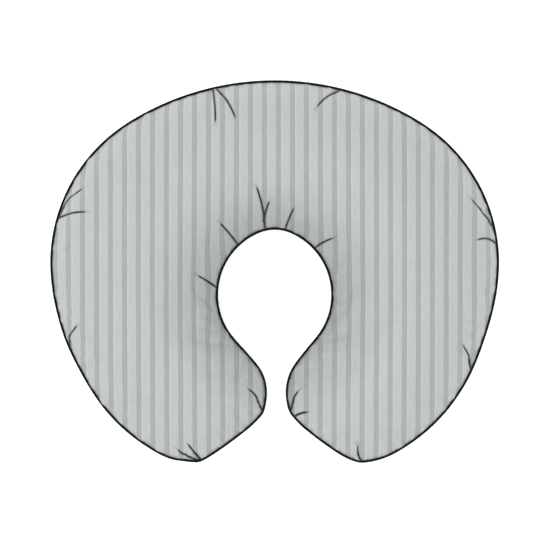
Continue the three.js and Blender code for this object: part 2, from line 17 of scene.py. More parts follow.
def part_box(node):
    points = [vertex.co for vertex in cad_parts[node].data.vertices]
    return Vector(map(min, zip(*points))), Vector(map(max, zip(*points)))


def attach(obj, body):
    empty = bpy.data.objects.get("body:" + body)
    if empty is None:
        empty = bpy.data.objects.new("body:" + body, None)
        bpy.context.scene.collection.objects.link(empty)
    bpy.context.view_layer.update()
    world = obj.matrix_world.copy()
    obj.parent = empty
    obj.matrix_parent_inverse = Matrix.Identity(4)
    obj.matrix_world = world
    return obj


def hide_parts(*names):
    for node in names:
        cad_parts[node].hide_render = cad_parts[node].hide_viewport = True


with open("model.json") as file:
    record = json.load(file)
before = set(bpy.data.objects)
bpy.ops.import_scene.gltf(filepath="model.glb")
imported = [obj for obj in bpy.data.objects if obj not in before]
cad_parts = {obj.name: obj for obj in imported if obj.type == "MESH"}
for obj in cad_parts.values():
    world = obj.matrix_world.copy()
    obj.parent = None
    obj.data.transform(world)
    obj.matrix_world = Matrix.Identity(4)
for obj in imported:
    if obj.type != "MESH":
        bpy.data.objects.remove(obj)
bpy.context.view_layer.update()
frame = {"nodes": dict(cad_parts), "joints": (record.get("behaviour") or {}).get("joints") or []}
MM = 0.001

# ---- Sizes the frame doesn't state ----

SEAM_SPACING = 1.5  # between the seam line's points
SEAM_LIFT, LIFT_WAVE = 0.45, 60  # the seam's rise and fall, and how long a wave is
LIFT_FADE = 14  # how far in from the seam that is still felt

PIPING_RADIUS = 1.4
PIPING_NAP = 0.09  # the twill's thickness makes the tube this much fuller than its radius
PIPING_CRIMP, CRIMP_WAVE = 0.025, 7  # its unevenness, as a share of the radius
PIPING_SPACING = 2.0
STRIP_WALL = 0.45
LEAF_END, LEAF_HALF = -9.0, 0.6  # where the strip's sewn-in leaf ends, and half its thickness
LEAF_SLIT = 0.15  # half the gap between the leaf's two layers
CORD_RADIUS, CORD_LOBE = 0.56, 0.07
CORD_LAY = 6.0  # one turn of its three plies
CORD_SPACING = 1.0

PANEL_EDGE = 1.3  # a panel's edge, inward from the seam line, where it meets the piping
PANEL_EDGE_UP = 0.75  # and above or below it
CLOTH_THICKNESS = 0.9
FINE_SPACING, COARSE_SPACING = 2.8, 4.6  # mesh spacing near the seam, and away from it
FINE_BAND = 26.0
RIM_CLEARANCE, LEAST_GAP = 0.45, 0.5  # how close mesh points may come to the rim, and to each other
SOLVER_STEPS = 900
CROWN_FULLNESS = 0.35  # the same skin shape as the CAD
FLOOR_SPREAD = 1.45
FLOOR_ROUNDING = 1.6

GATHER_HEIGHT, GATHER_WAVE = 0.75, 21  # ripples that the seam draws into the cloth
GATHER_REACH, REACH_CHANGE, REACH_WAVE = 7.0, 3.0, 90
REACH_LEAST, REACH_MOST = 4.0, 14.0
SEWN_WIDTH = 11  # the sewn layers hold the cloth up: a ripple takes this far to sink by its height
UPPER_GROWTH, LOWER_GROWTH = 0.035, 0.03  # how much the simulated cloth grows
CLOTH_FRAMES = 20
CLOTH_FREEDOM, CLOTH_MOST = 0.22, 4.0  # how far it may move per mm from the piping, and at most

PUCKER_DEPTH = 3.4
PUCKER_HALF_WIDTH = 1.15
PUCKER_START, FORK_START = 2, 12  # how far in from the seam line they begin
PUCKER_ROWS = (-4.4, -2.5, -1.3, -0.6, 0.0, 0.6, 1.3, 2.5, 4.4)  # mesh points across a pucker
PUCKER_SPACING = 1.4  # and along it
ROW_CLEARANCE = 1.6  # between those rows and the mesh's other points
PUCKER_REACH = 60  # a pucker bends no cloth farther than this from its middle
SHOULDER_WIDTH, SHOULDER_RISE = 5.5, 0.18  # the cloth swells a little beside a pucker
PUCKER_FADE_IN = 7  # its depth grows from the seam over this far
PRESS_END, CREASE_SHADE_END, CREASE_SHADE_FADE = 1.06, 1.03, 0.12  # where its press and its painted crease shade end, as shares of its length, and the share over which that shade fades

STRIPE_REPEAT = 16.7
STRIPE_OFFSET = 4.6  # centre of the dark stripe next to the pillow's middle line
STRIPES_STRAIGHT = 0.85  # share of the cloth's sideways movement kept out of the upper stripes

CHAIN_TO_SEAM = 7.0  # down the zip's cone from the tape's top edge to the chain
HEM_DOWN = 13.3  # and to the lower panel's hem
HEM_FROM_CHAIN = HEM_DOWN - CHAIN_TO_SEAM
HEM_END = math.radians(0.9)  # past the zip's tape, over which the hem runs back up to the seam
BACK_BAND = 40  # the zip's cut only touches cloth this close to the back's seam line
HEM_TOLERANCE = 0.15  # the cut takes cloth this far past the hem's line
ZIP_BLEND = 0.06  # the turn over which the gathers fade out at the zip's ends
TAPE_THICKNESS = 0.6
TAPE_FACE = -1.15  # the tapes' face, below the middle of the coils
TAPE_EDGE = 0.6  # each tape's inner edge, from the chain's centre line
TAPE_UNDER_HEM = 4.5
TAPE_PAST_STOPS = math.radians(0.8)
TAPE_STITCHES = 4.3  # each tape's row of stitches, from the chain's centre line
HEM_STITCHES = 2.6  # the hem's row, past its edge
THREAD_LIFT = 0.1  # from the cloth to the thread's path
COIL_PITCH = 1.5
COIL_WIRE = 0.3
COIL_MIDDLE, COIL_HALF_WIDTH, COIL_HALF_HEIGHT = 1.6, 1.95, 0.8  # so that the loops just overlap
COIL_LIFT = 0.05
COIL_SHORT_OF_TAPE = math.radians(0.5)

LINER_SPACING, FILL_SPACING = (4.5, 8.0), (4.0, 6.0)  # near the seam, and away from it
LINER_SHORT, LINER_DROP, LINER_RISE = 0.4, 1.0, 0.3  # kept inside its CAD node: edge, top, bottom
FILL_SHORT, FILL_DROP, FILL_RISE = 1.2, 2.0, 1.0
LINER_RIM = 0.2  # from the seam's height to a liner panel's edge
LINER_GATHER, LINER_THICKNESS = 0.5, 0.6
TUFT_HEIGHT, LARGE_TUFT, SMALL_TUFT = 0.8, 14, 6

FRAME_WIDTH = 0.66  # what the camera sees, in metres
LENS, SENSOR = 1000, 36
CAMERA_X, CAMERA_Y = 0.0004, -0.0046
WORLD_STRENGTH = 0.72
FLOOR_GLOW = 0.5  # lifts the floor towards plain white, as the camera sees it
FLOOR_LIGHT = 0.2  # the part of that glow that also lights the pillow
# Each sun's name, the direction it shines from, its strength, and how wide it is in degrees.
SUNS = [("key", (-0.3, 0.2, 1.0), 0.95, 60), ("fill", (0.35, -0.6, 1.0), 0.45, 80)]

# ---- The frame's measures ----


def node_points(name):
    """A CAD node's vertices, in mm."""
    mesh = frame["nodes"][name].data
    flat = np.zeros(len(mesh.vertices) * 3)
    mesh.vertices.foreach_get("co", flat)
    return flat.reshape(-1, 3) / MM


def top_of(name):
    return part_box(name)[1].z / MM


def bottom_of(name):
    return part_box(name)[0].z / MM


SEAM_Z = (top_of("piping_bias_strip") + bottom_of("piping_bias_strip")) / 2


def unit(vectors):
    return vectors / np.linalg.norm(vectors, axis=1, keepdims=True)


def travelled(line):
    """How far along a line each of its points is."""
    return np.concatenate([[0], np.cumsum(np.linalg.norm(np.diff(line, axis=0), axis=1))])


def sampled(values, distance, at):
    """Rows of values that are given at distances along a line, read at other distances."""
    return np.column_stack([np.interp(at, distance, column) for column in values.T])


def headings(angles):
    """Unit plan directions, at angles clockwise from the back."""
    return np.column_stack([np.sin(angles), np.cos(angles)])


def turned_left(directions):
    return np.column_stack([-directions[:, 1], directions[:, 0]])


def smooth_step(share):
    return share * share * (3 - 2 * share)


def chain_order(points):
    """The seam's right half in order, from the middle of the back to the top of the opening."""
    left = list(range(len(points)))
    here = max(left, key=lambda k: points[k][1] - 10 * abs(points[k][0]))
    order = []
    while left:
        left.remove(here)
        order.append(here)
        if left:
            here = min(left, key=lambda k: np.linalg.norm(points[k] - points[order[-1]]))
    return points[order]


def smooth_loop(points, spacing):
    """A closed curve through points, sampled evenly. Tangents are those of circles through them."""
    before = points - np.roll(points, 1, 0)
    after = np.roll(points, -1, 0) - points
    length_before = np.linalg.norm(before, axis=1, keepdims=True)
    length_after = np.linalg.norm(after, axis=1, keepdims=True)
    tangent = unit(before / length_before * length_after + after / length_after * length_before)
    t = (np.arange(32) / 32)[None, :, None]
    start, end = points[:, None], np.roll(points, -1, 0)[:, None]
    reach = length_after[:, None]
    leave, arrive = tangent[:, None] * reach, np.roll(tangent, -1, 0)[:, None] * reach
    curve = (
        (2 * t**3 - 3 * t**2 + 1) * start
        + (t**3 - 2 * t**2 + t) * leave
        + (3 * t**2 - 2 * t**3) * end
        + (t**3 - t**2) * arrive
    ).reshape(-1, 2)
    return even_loop(curve, spacing)


def even_loop(curve, spacing):
    closed = np.vstack([curve, curve[:1]])
    distance = travelled(closed)
    count = int(round(distance[-1] / spacing))
    return sampled(closed, distance, np.arange(count) * distance[-1] / count)


def outward(loop):
    """Unit normals out of a clockwise loop."""
    return turned_left(unit(np.roll(loop, -1, 0) - np.roll(loop, 1, 0)))


def seam_line():
    """The piping's outermost ring, moved in by its radius, clockwise from the middle of the back."""
    points = node_points("piping_bias_strip")
    ring = points[(abs(points[:, 2] - SEAM_Z) < 0.01) & (points[:, 0] > -0.01)][:, :2]
    right = chain_order(np.unique(ring.round(3), axis=0))
    left = right[-2:0:-1] * [-1, 1]
    loop = smooth_loop(np.vstack([right, left]), SEAM_SPACING)
    return even_loop(loop - outward(loop) * PIPING_RADIUS, SEAM_SPACING)


# A soft pillow never lies quite evenly. Both arm ends lean a little to the right, and where a
# pucker gathers the seam at an arm's end the seam turns more sharply. Each corner is its place, how
# far the pucker pulls the seam out, and how far the flank beside it falls in.
ARM_LEAN = 2.0
LEAN_START, LEAN_LENGTH = -75, 60
CORNERS = [
    ((-90, -228), 1.9, 1.3),
    ((102, -228), 1.2, 0.6),
    ((-13, -170), 1.9, 0),
    ((18, -168), 1.3, 0),
]
CORNER_LENGTH, CORNER_SOFTNESS = 8, 4
FLANK_AWAY, FLANK_LENGTH = 19, 12


def settled(loop):
    """The seam line as the pillow lies, with leaning arm ends and gathered corners."""
    share = np.clip((LEAN_START - loop[:, 1]) / LEAN_LENGTH, 0, 1)
    loop = loop + np.outer(smooth_step(share), [ARM_LEAN, 0])
    out = outward(loop)
    moved = np.zeros(len(loop))
    for corner, pull, dip in CORNERS:
        nearest = np.linalg.norm(loop - corner, axis=1).argmin()
        along = (np.arange(len(loop)) - nearest) * SEAM_SPACING
        sharp = np.exp(-(np.sqrt(along**2 + CORNER_SOFTNESS**2) - CORNER_SOFTNESS) / CORNER_LENGTH)
        flank = along - FLANK_AWAY * (1 if corner[0] < 0 else -1)
        moved += pull * sharp - dip * np.exp(-((flank / FLANK_LENGTH) ** 2))
    return even_loop(loop + out * moved[:, None], SEAM_SPACING)


SEAM = settled(seam_line())
SEAM_OUT = outward(SEAM)
SEAM_LENGTH = SEAM_SPACING * len(SEAM)


def seam_places(points):
    """For plan points: the distance in from the seam line, and the place along it."""
    depth, place = np.zeros(len(points)), np.zeros(len(points))
    at_a_time = 2000
    for start in range(0, len(points), at_a_time):
        part = slice(start, start + at_a_time)
        block = points[part]
        gaps = ((block[:, None] - SEAM[None]) ** 2).sum(2)
        nearest = gaps.argmin(1)
        inward = ((SEAM[nearest] - block) * SEAM_OUT[nearest]).sum(1)
        depth[part] = np.sign(inward) * np.sqrt(gaps.min(1))
        place[part] = nearest * SEAM_SPACING
    return depth, place


def wave_along_seam(place, wavelength, seed):
    """A smooth random wave round the seam, about 1 high, that closes on itself."""
    harmonics = 9
    random = np.random.default_rng(seed)
    centre = SEAM_LENGTH / wavelength
    total = np.zeros(len(place))
    for _ in range(harmonics):
        cycles = round(centre * random.uniform(0.6, 1.5))
        total += np.sin(2 * math.pi * cycles * place / SEAM_LENGTH + random.uniform(0, 2 * math.pi))
    return total / math.sqrt(harmonics) * 1.2


def seam_lift(place):
    """The seam rises and falls a little where the cloth is gathered."""
    return SEAM_LIFT * wave_along_seam(place, LIFT_WAVE, 3)


# ---- Puckers: where the seam has gathered the cloth into a sharp fold ----

# Each is its place along the seam, its length, how far it leans from square to the seam, in
# degrees, and how far its middle bows out. Places run clockwise from the middle of the back, and
# leans and bows are clockwise too.
PUCKERS = [
    (-75, 42, -8, 1.0),
    (-70, 44, 19, 2.5),
    (78, 35, -36, -2.0),
    (-321, 38, 62, 3.5),
    (-328, 35, 25, 1.5),
    (339, 42, -61, -1.0),
    (360, 25, -14, -3.0),
    (-1068, 47, -1, -2.0),
    (1062, 23, -9, 0.5),
    (-1030, 28, -3, -0.5),
    (1020, 20, -18, 1.0),
    (-972, 22, -30, -1.0),
    (-484, 24, 42, 2.5),
    (516, 30, -45, -2.5),
    (-807, 30, -40, -2.0),
    (806, 24, 47, 1.5),
    (795, 16, -22, 1.0),
    (-704, 25, 56, 2.0),
    (-710, 23, 18, 0.5),
    (698, 17, 15, 1.5),
]
FORK = (-1070, 19, -30, 0.5)  # one more, which branches off another away from the seam


def pucker_line(place, length, lean, bow, start=PUCKER_START):
    """A pucker as evenly spaced points, from beside the seam to its tip in the panel."""
    nearest = round(place / SEAM_SPACING) % len(SEAM)
    inward = -SEAM_OUT[nearest]
    clockwise = np.array([-inward[1], inward[0]])
    chord = inward * math.cos(math.radians(lean)) + clockwise * math.sin(math.radians(lean))
    side = np.array([-chord[1], chord[0]])
    t = np.linspace(0, 1, 26)[:, None]
    curve = SEAM[nearest] + inward * start + chord * length * t + side * bow * 4 * t * (1 - t)
    return even_line(curve, PUCKER_SPACING)


def pucker_lines():
    return [pucker_line(*pucker) for pucker in PUCKERS] + [pucker_line(*FORK, start=FORK_START)]


def even_line(line, spacing):
    distance = travelled(line)
    at = np.linspace(0, distance[-1], max(4, int(distance[-1] / spacing)))
    return sampled(line, distance, at)


def line_sides(line):
    return turned_left(unit(np.gradient(line, axis=0)))


def line_places(points, line):
    """For plan points: the distance to one side of a line, and how far along it, from 0 to 1."""
    gaps = np.linalg.norm(points[:, None] - line[None], axis=2)
    nearest = gaps.argmin(1)
    offset = points - line[nearest]
    side = line_sides(line)[nearest]
    across = (offset * side).sum(1)
    along = offset[:, 0] * side[:, 1] - offset[:, 1] * side[:, 0]
    return across, nearest / (len(line) - 1) + along / travelled(line)[-1]


# ---- Plan meshes ----


def hex_lattice(spacing, low, high):
    rows = np.arange(low[1], high[1], spacing * math.sqrt(3) / 2)
    columns = np.arange(low[0], high[0], spacing)
    shift = (np.arange(len(rows)) % 2) * spacing / 2
    x = (columns[None] + shift[:, None]).ravel()
    return np.column_stack([x, np.repeat(rows, len(columns))])


def plan_mesh(edge, fine, coarse, lines=(), rows=PUCKER_ROWS):
    """Triangles inside the seam line set in by edge, with rows of points along each line."""
    rim = even_loop(SEAM - SEAM_OUT * edge, fine)
    low, high = SEAM.min(0), SEAM.max(0)
    kept = []
    bands = (fine, edge + 0.6 * fine, FINE_BAND), (coarse, FINE_BAND + 1, math.inf)
    for spacing, nearest, farthest in bands:
        lattice = hex_lattice(spacing, low, high)
        depth, _ = seam_places(lattice)
        kept.append(lattice[(depth > nearest) & (depth < farthest)])
    lattice = np.vstack(kept)
    clear = max(rows) + ROW_CLEARANCE
    for line in lines:
        gaps = np.linalg.norm(lattice[:, None] - line[None], axis=2).min(1)
        lattice = lattice[gaps > clear]
    extra = [line + line_sides(line) * across for line in lines for across in rows]
    points = np.vstack([rim, lattice] + extra)
    if lines:
        depth, _ = seam_places(points)
        is_rim = np.arange(len(points)) < len(rim)
        points = points[is_rim | (depth > edge + RIM_CLEARANCE)]
    points = without_close_pairs(points, LEAST_GAP, len(rim))
    coords = [Vector(point) for point in points]
    ring = list(range(len(rim)))
    verts, _, faces, _, _, _ = geometry.delaunay_2d_cdt(coords, [], [ring], 1, 1e-5)
    plan = np.array([tuple(v) for v in verts])
    triangles = np.array([face for face in faces if len(face) == 3])
    corner = plan[triangles]
    ab, ac = corner[:, 1] - corner[:, 0], corner[:, 2] - corner[:, 0]
    upside_down = ab[:, 0] * ac[:, 1] - ab[:, 1] * ac[:, 0] < 0
    triangles[upside_down] = triangles[upside_down][:, ::-1]
    return plan, triangles


def without_close_pairs(points, least, rim_count):
    """Drops a point that lies closer than least to one kept before it. The rim's points all stay."""
    tree = kdtree.KDTree(len(points))
    for k, point in enumerate(points):
        tree.insert((*point, 0), k)
    tree.balance()
    dropped = set()
    for k, point in enumerate(points):
        if k in dropped:
            continue
        for _, other, _ in tree.find_range((*point, 0), least):
            if other > k and other >= rim_count:
                dropped.add(other)
    return points[[k for k in range(len(points)) if k not in dropped]]


def edge_vertices(triangles):
    """Vertices on the mesh's open edges."""
    sides = np.sort(triangles[:, [0, 1, 1, 2, 2, 0]].reshape(-1, 2), axis=1)
    unique, count = np.unique(sides, axis=0, return_counts=True)
    return np.unique(unique[count == 1])


def membrane(plan, triangles):
    """Height of a membrane under even pressure, held at its edges, with its highest point at 1."""
    count = len(plan)
    rows, columns, weights = [], [], []
    load = np.zeros(count)
    for turn in range(3):
        a, b, c = (triangles[:, (turn + step) % 3] for step in range(3))
        ab, ac = plan[b] - plan[a], plan[c] - plan[a]
        twice_area = np.abs(ab[:, 0] * ac[:, 1] - ab[:, 1] * ac[:, 0])
        weight = (ab * ac).sum(1) / np.maximum(twice_area, 1e-9) / 2
        rows += [b, c]
        columns += [c, b]
        weights += [weight, weight]
        load += np.bincount(a, twice_area / 6, count)
    rows, columns, weights = map(np.concatenate, (rows, columns, weights))
    free = np.ones(count)
    free[edge_vertices(triangles)] = 0
    total = np.bincount(rows, weights, count)
    total[total <= 0] = 1

    def stiffness(height):
        return free * (total * height - np.bincount(rows, weights * height[columns], count))

    height = np.zeros(count)
    residual = free * load
    step = residual / total
    product = residual @ step
    for _ in range(SOLVER_STEPS):
        image = stiffness(step)
        stride = product / (step @ image)
        height += stride * step
        residual = residual - stride * image
        scaled = residual / total
        following = residual @ scaled
        if following < 1e-12 * count:
            break
        step = scaled + following / product * step
        product = following
    return height / height.max()


def top_height(swell, rim, crown):
    return rim + (crown - rim) * swell * (1 + CROWN_FULLNESS * (1 - swell))


def bottom_height(swell, rim, floor):
    flattened = np.minimum(1, FLOOR_SPREAD * swell)
    return rim - (rim - floor) * (1 - (1 - flattened) ** FLOOR_ROUNDING)


def only_used(faces, count):
    """The vertices that faces use, and the faces renumbered to them alone."""
    used = np.unique(faces)
    renumber = np.zeros(count, int)
    renumber[used] = np.arange(len(used))
    return used, renumber[faces]


def vertex_normals(points, triangles):
    corner = points[triangles]
    face = np.cross(corner[:, 1] - corner[:, 0], corner[:, 2] - corner[:, 0])
    normals = np.zeros_like(points)
    for turn in range(3):
        np.add.at(normals, triangles[:, turn], face)
    return normals / np.maximum(np.linalg.norm(normals, axis=1, keepdims=True), 1e-12)


# ---- Zip measures ----

JOINTS = {joint["name"]: joint for joint in frame["joints"]}
ZIP_PIVOT = np.array(JOINTS["zip_travel"]["pos_m"][:2]) / MM


def section_centre(name):
    """Middle of a zip bar's section: distance from the zip's pivot, and height."""
    points = node_points(name)
    radius = np.linalg.norm(points[:, :2] - ZIP_PIVOT, axis=1)
    height = points[:, 2]
    return np.array([(radius.min() + radius.max()) / 2, (height.min() + height.max()) / 2])


def zip_half_angle():
    points = node_points("zip_tape_upper") - [*ZIP_PIVOT, 0]
    return float(np.arctan2(points[:, 0], points[:, 1]).max())


UPPER_COIL, LOWER_COIL = section_centre("zip_coil_upper"), section_centre("zip_coil_lower")
CONE_DOWN = (LOWER_COIL - UPPER_COIL) / np.linalg.norm(LOWER_COIL - UPPER_COIL)
CONE_OUT = np.array([-CONE_DOWN[1], CONE_DOWN[0]])
CHAIN = (UPPER_COIL + LOWER_COIL) / 2
ZIP_ANGLE = zip_half_angle()
SEAM_RADIUS = float(np.linalg.norm(np.array([0, SEAM[:, 1].max()]) - ZIP_PIVOT))


def on_cone(down, out):
    """[radius, height] at a place on the zip's cone, measured from the chain's centre line."""
    return CHAIN + CONE_DOWN * down + CONE_OUT * out


def round_pivot(section, angles):
    """Points of a [radius, height] section carried round the zip's pivot, section by section."""
    section = np.asarray(section)
    plan = ZIP_PIVOT + headings(angles)[:, None] * section[None, :, :1]
    height = np.broadcast_to(section[None, :, 1:], (len(angles), len(section), 1))
    return np.concatenate([plan, height], axis=2).reshape(-1, 3)


def tube_faces(rings, sides, closed=False):
    """Quads between rings of points, and a cap on each end of an open tube."""
    faces = []
    for ring in range(rings if closed else rings - 1):
        here, there = ring * sides, (ring + 1) % rings * sides
        for k in range(sides):
            following = (k + 1) % sides
            faces.append((here + k, here + following, there + following, there + k))
    if not closed:
        faces.append(tuple(range(sides))[::-1])
        faces.append(tuple((rings - 1) * sides + k for k in range(sides)))
    return faces


# ---- Pieces ----


def make_object(name, points, faces, materials=(), smooth=True):
    """A mesh object from points in mm."""
    mesh = bpy.data.meshes.new(name)
    mesh.from_pydata((np.asarray(points) * MM).tolist(), [], [list(map(int, face)) for face in faces])
    mesh.validate()
    if smooth:
        mesh.polygons.foreach_set("use_smooth", [True] * len(mesh.polygons))
    for material in materials:
        mesh.materials.append(material)
    piece = bpy.data.objects.new(name, mesh)
    bpy.context.scene.collection.objects.link(piece)
    return piece


def enlist(piece, node=None, body="pillow"):
    """Hides the CAD node that a piece replaces, and hangs the piece on the empty of the body it rides.
    """
    if node:
        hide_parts(node)
    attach(piece, body)


def thicken(piece, thickness):
    solid = piece.modifiers.new("thickness", "SOLIDIFY")
    solid.thickness = thickness * MM
    solid.offset = -1


def set_attribute(piece, name, values):
    attribute = piece.data.attributes.new(name, "FLOAT", "POINT")
    attribute.data.foreach_set("value", np.asarray(values, np.float32))


def read_points(mesh):
    flat = np.zeros(len(mesh.vertices) * 3)
    mesh.vertices.foreach_get("co", flat)
    return flat.reshape(-1, 3) / MM


CLOTH = {
    "quality": 6,
    "mass": 0.15,
    "tension_stiffness": 25,
    "compression_stiffness": 12,
    "shear_stiffness": 4,
    "bending_stiffness": 0.15,
    "tension_damping": 10,
    "compression_damping": 10,
    "shear_damping": 10,
    "bending_damping": 1,
    "air_damping": 6,
    "use_pressure": True,
    "uniform_pressure_force": 4,
}


def settle_cloth(points, triangles, held, growth, cap):
    """Points after a cloth simulation. The held ones stay, and the cloth grows and swells a little."""
    piece = make_object("cloth_trial", points, triangles)
    group = piece.vertex_groups.new(name="held")
    group.add([int(k) for k in held], 1.0, "REPLACE")
    cloth = piece.modifiers.new("cloth", "CLOTH")
    for setting, value in CLOTH.items():
        setattr(cloth.settings, setting, value)
    cloth.settings.vertex_group_mass = "held"
    cloth.settings.shrink_min = -growth
    cloth.settings.effector_weights.gravity = 0
    cloth.collision_settings.use_collision = False
    cloth.point_cache.frame_start, cloth.point_cache.frame_end = 1, CLOTH_FRAMES
    for number in range(1, CLOTH_FRAMES + 1):
        bpy.context.scene.frame_set(number)
    evaluated = piece.evaluated_get(bpy.context.evaluated_depsgraph_get())
    moved = read_points(evaluated.data)
    bpy.data.objects.remove(piece)
    bpy.context.scene.frame_set(1)
    shift = moved - points
    length = np.linalg.norm(shift, axis=1)
    average, most = round(float(length.mean()), 2), round(float(length.max()), 2)
    print("cloth moved", average, "mm on average and", most, "at most")
    return points + shift * np.minimum(1, cap / np.maximum(length, 1e-9))[:, None]


def cloth_cap(depth):
    """How far cloth may move: little next to the seam, so that it never hides the piping."""
    return np.clip(CLOTH_FREEDOM * (depth - PANEL_EDGE), 0, CLOTH_MOST)


def gathered(points, normals, depth, place, amount, seed):
    """Soft ripples that the seam draws into the cloth, strongest a little way in from it."""
    reach = GATHER_REACH + REACH_CHANGE * wave_along_seam(place, REACH_WAVE, seed + 1)
    reach = np.clip(reach, REACH_LEAST, REACH_MOST)
    envelope = depth / reach * np.exp(1 - depth / reach)
    ripple = np.maximum(wave_along_seam(place, GATHER_WAVE, seed), -depth / SEWN_WIDTH)
    return points + normals * (amount * envelope * ripple)[:, None]


def pinch(points, normals, plan, depth, lines):
    """Presses puckers into the panel. Returns the points, and how deep in a fold each is, 0 to 1,
    which is painted shade: the cover's colour goes that far towards black.
    """
    fold = np.zeros(len(points))
    press = np.zeros(len(points))
    level = np.clip(normals[:, 2] / 0.7, 0.2, 1) ** 1.5  # shallower where the side is steep
    strength = np.clip((depth - PANEL_EDGE) / PUCKER_FADE_IN, 0, 1) * level
    for line in lines:
        near = np.flatnonzero(np.linalg.norm(plan - line.mean(0), axis=1) < PUCKER_REACH)
        across, along = line_places(plan[near], line)
        on_line = along > -0.25  # a little behind its start too
        pressed = np.clip(PRESS_END - along, 0, 1) ** 0.6 * on_line * strength[near] * PUCKER_DEPTH
        width = PUCKER_HALF_WIDTH * (0.7 + 0.3 * np.clip(1 - along, 0, 1))
        groove = np.exp(-((across / width) ** 2))
        shoulder = np.exp(-((across / SHOULDER_WIDTH) ** 2)) - groove
        press[near] = np.minimum(press[near], pressed * (SHOULDER_RISE * shoulder - groove))
        # Painted shade: near black along the bottom of the groove, fading out towards the pucker's
        # tip.
        tip = np.clip((CREASE_SHADE_END - along) / CREASE_SHADE_FADE, 0, 1)
        fold[near] = np.maximum(fold[near], np.clip(2.0 * groove, 0, 1) * on_line * tip)
    return points + normals * press[:, None], fold


def cover_top():
    """The striped upper panel."""
    lines = pucker_lines()
    plan, triangles = plan_mesh(PANEL_EDGE, FINE_SPACING, COARSE_SPACING, lines)
    depth, place = seam_places(plan)
    swell = membrane(plan, triangles)
    rim = SEAM_Z + PANEL_EDGE_UP
    z = top_height(swell, rim, top_of("cover_top_panel"))
    z += seam_lift(place) * np.exp(-depth / LIFT_FADE)
    points = np.column_stack([plan, z])
    normals = vertex_normals(points, triangles)
    points = gathered(points, normals, depth, place, GATHER_HEIGHT, 11)
    held = edge_vertices(triangles)
    points = settle_cloth(points, triangles, held, UPPER_GROWTH, cloth_cap(depth))
    level = np.clip((normals[:, 2] - 0.35) / 0.4, 0, 1)  # 0 where the side is steep
    straight = STRIPES_STRAIGHT * level
    stripe = straight * points[:, 0] + (1 - straight) * plan[:, 0]
    normals = vertex_normals(points, triangles)
    points, fold = pinch(points, normals, plan, depth, lines)
    panel_piece("cover_top", points, triangles, stripe, fold, "cover_top_panel")


def panel_piece(name, points, triangles, stripe, fold, node):
    piece = make_object(name, points, triangles, [striped_cotton()])
    set_attribute(piece, "stripe", stripe)
    # fold: painted shade, how far the cloth's colour goes towards black in a pucker's fold.
    set_attribute(piece, "fold", fold)
    thicken(piece, CLOTH_THICKNESS)
    enlist(piece, node)
    return piece


def zip_turn(plan):
    """Angle round the zip's pivot, from the middle of the back."""
    return np.arctan2(plan[:, 0] - ZIP_PIVOT[0], plan[:, 1] - ZIP_PIVOT[1])


def hem_depth(turn):
    """How far in from the seam line the lower panel's edge is, along the zip and past its ends."""
    full = SEAM_RADIUS - on_cone(HEM_FROM_CHAIN, TAPE_FACE + CLOTH_THICKNESS)[0]
    share = np.clip((ZIP_ANGLE + HEM_END - abs(turn)) / HEM_END, 0, 1)
    return PANEL_EDGE + (full - PANEL_EDGE) * smooth_step(share)


def by_zip(plan):
    """True for plan points along the back, where the zip is."""
    return np.linalg.norm(plan - ZIP_PIVOT, axis=1) > SEAM_RADIUS - BACK_BAND


def hem_line():
    turn = np.linspace(-ZIP_ANGLE - HEM_END, ZIP_ANGLE + HEM_END, 260)
    radius = SEAM_RADIUS - hem_depth(turn)
    return ZIP_PIVOT + radius[:, None] * headings(turn)


def cover_bottom():
    """The striped lower panel: flat where it rests, and open along the zip."""
    hem = hem_line()[4:-4]
    plan, triangles = plan_mesh(PANEL_EDGE, FINE_SPACING, COARSE_SPACING, [hem], rows=(0,))
    depth, place = seam_places(plan)
    swell = membrane(plan, triangles)
    turn = zip_turn(plan)
    along_hem = by_zip(plan) & (abs(turn) < ZIP_ANGLE + HEM_END)
    cut_away = along_hem & (depth < hem_depth(turn) + HEM_TOLERANCE)
    used, triangles = only_used(triangles[~cut_away[triangles].all(axis=1)], len(plan))
    plan, depth, place, swell = plan[used], depth[used], place[used], swell[used]
    floor = bottom_of("cover_bottom_panel")
    z = bottom_height(swell, SEAM_Z - PANEL_EDGE_UP, floor)
    z += seam_lift(place) * np.exp(-depth / LIFT_FADE)
    points = np.column_stack([plan, z])
    triangles = triangles[:, ::-1]
    normals = vertex_normals(points, triangles)
    along_zip = np.clip((ZIP_ANGLE - abs(zip_turn(plan))) / ZIP_BLEND + 0.5, 0, 1) * by_zip(plan)
    points = gathered(points, normals, depth, place, GATHER_HEIGHT, 23)
    points = points * (1 - along_zip[:, None]) + np.column_stack([plan, z]) * along_zip[:, None]
    cap = cloth_cap(depth - (hem_depth(0) - PANEL_EDGE) * along_zip)
    points = settle_cloth(points, triangles, edge_vertices(triangles), LOWER_GROWTH, cap)
    points[:, 2] = np.maximum(points[:, 2], floor)
    # No puckers here, so no painted crease shade.
    fold = np.zeros(len(points))
    return panel_piece("cover_bottom", points, triangles, plan[:, 0], fold, "cover_bottom_panel")


# ---- Piping ----


def seam_sweep(name, profile_at, spacing, materials):
    """A closed tube round the seam. profile_at gives [out, up] points for each place along it."""
    loop = even_loop(SEAM, spacing)
    out = outward(loop)
    place = np.arange(len(loop)) * SEAM_LENGTH / len(loop)
    profiles = profile_at(place)
    plan = loop[:, None] + out[:, None] * profiles[:, :, :1]
    height = SEAM_Z + seam_lift(place)[:, None, None] + profiles[:, :, 1:]
    points = np.concatenate([plan, height], axis=2).reshape(-1, 3)
    return make_object(name, points, tube_faces(len(loop), profiles.shape[1], closed=True), materials)


def arc_points(radius, start, end, count):
    angle = np.linspace(start, end, count)
    return np.column_stack([radius * np.cos(angle), radius * np.sin(angle)])


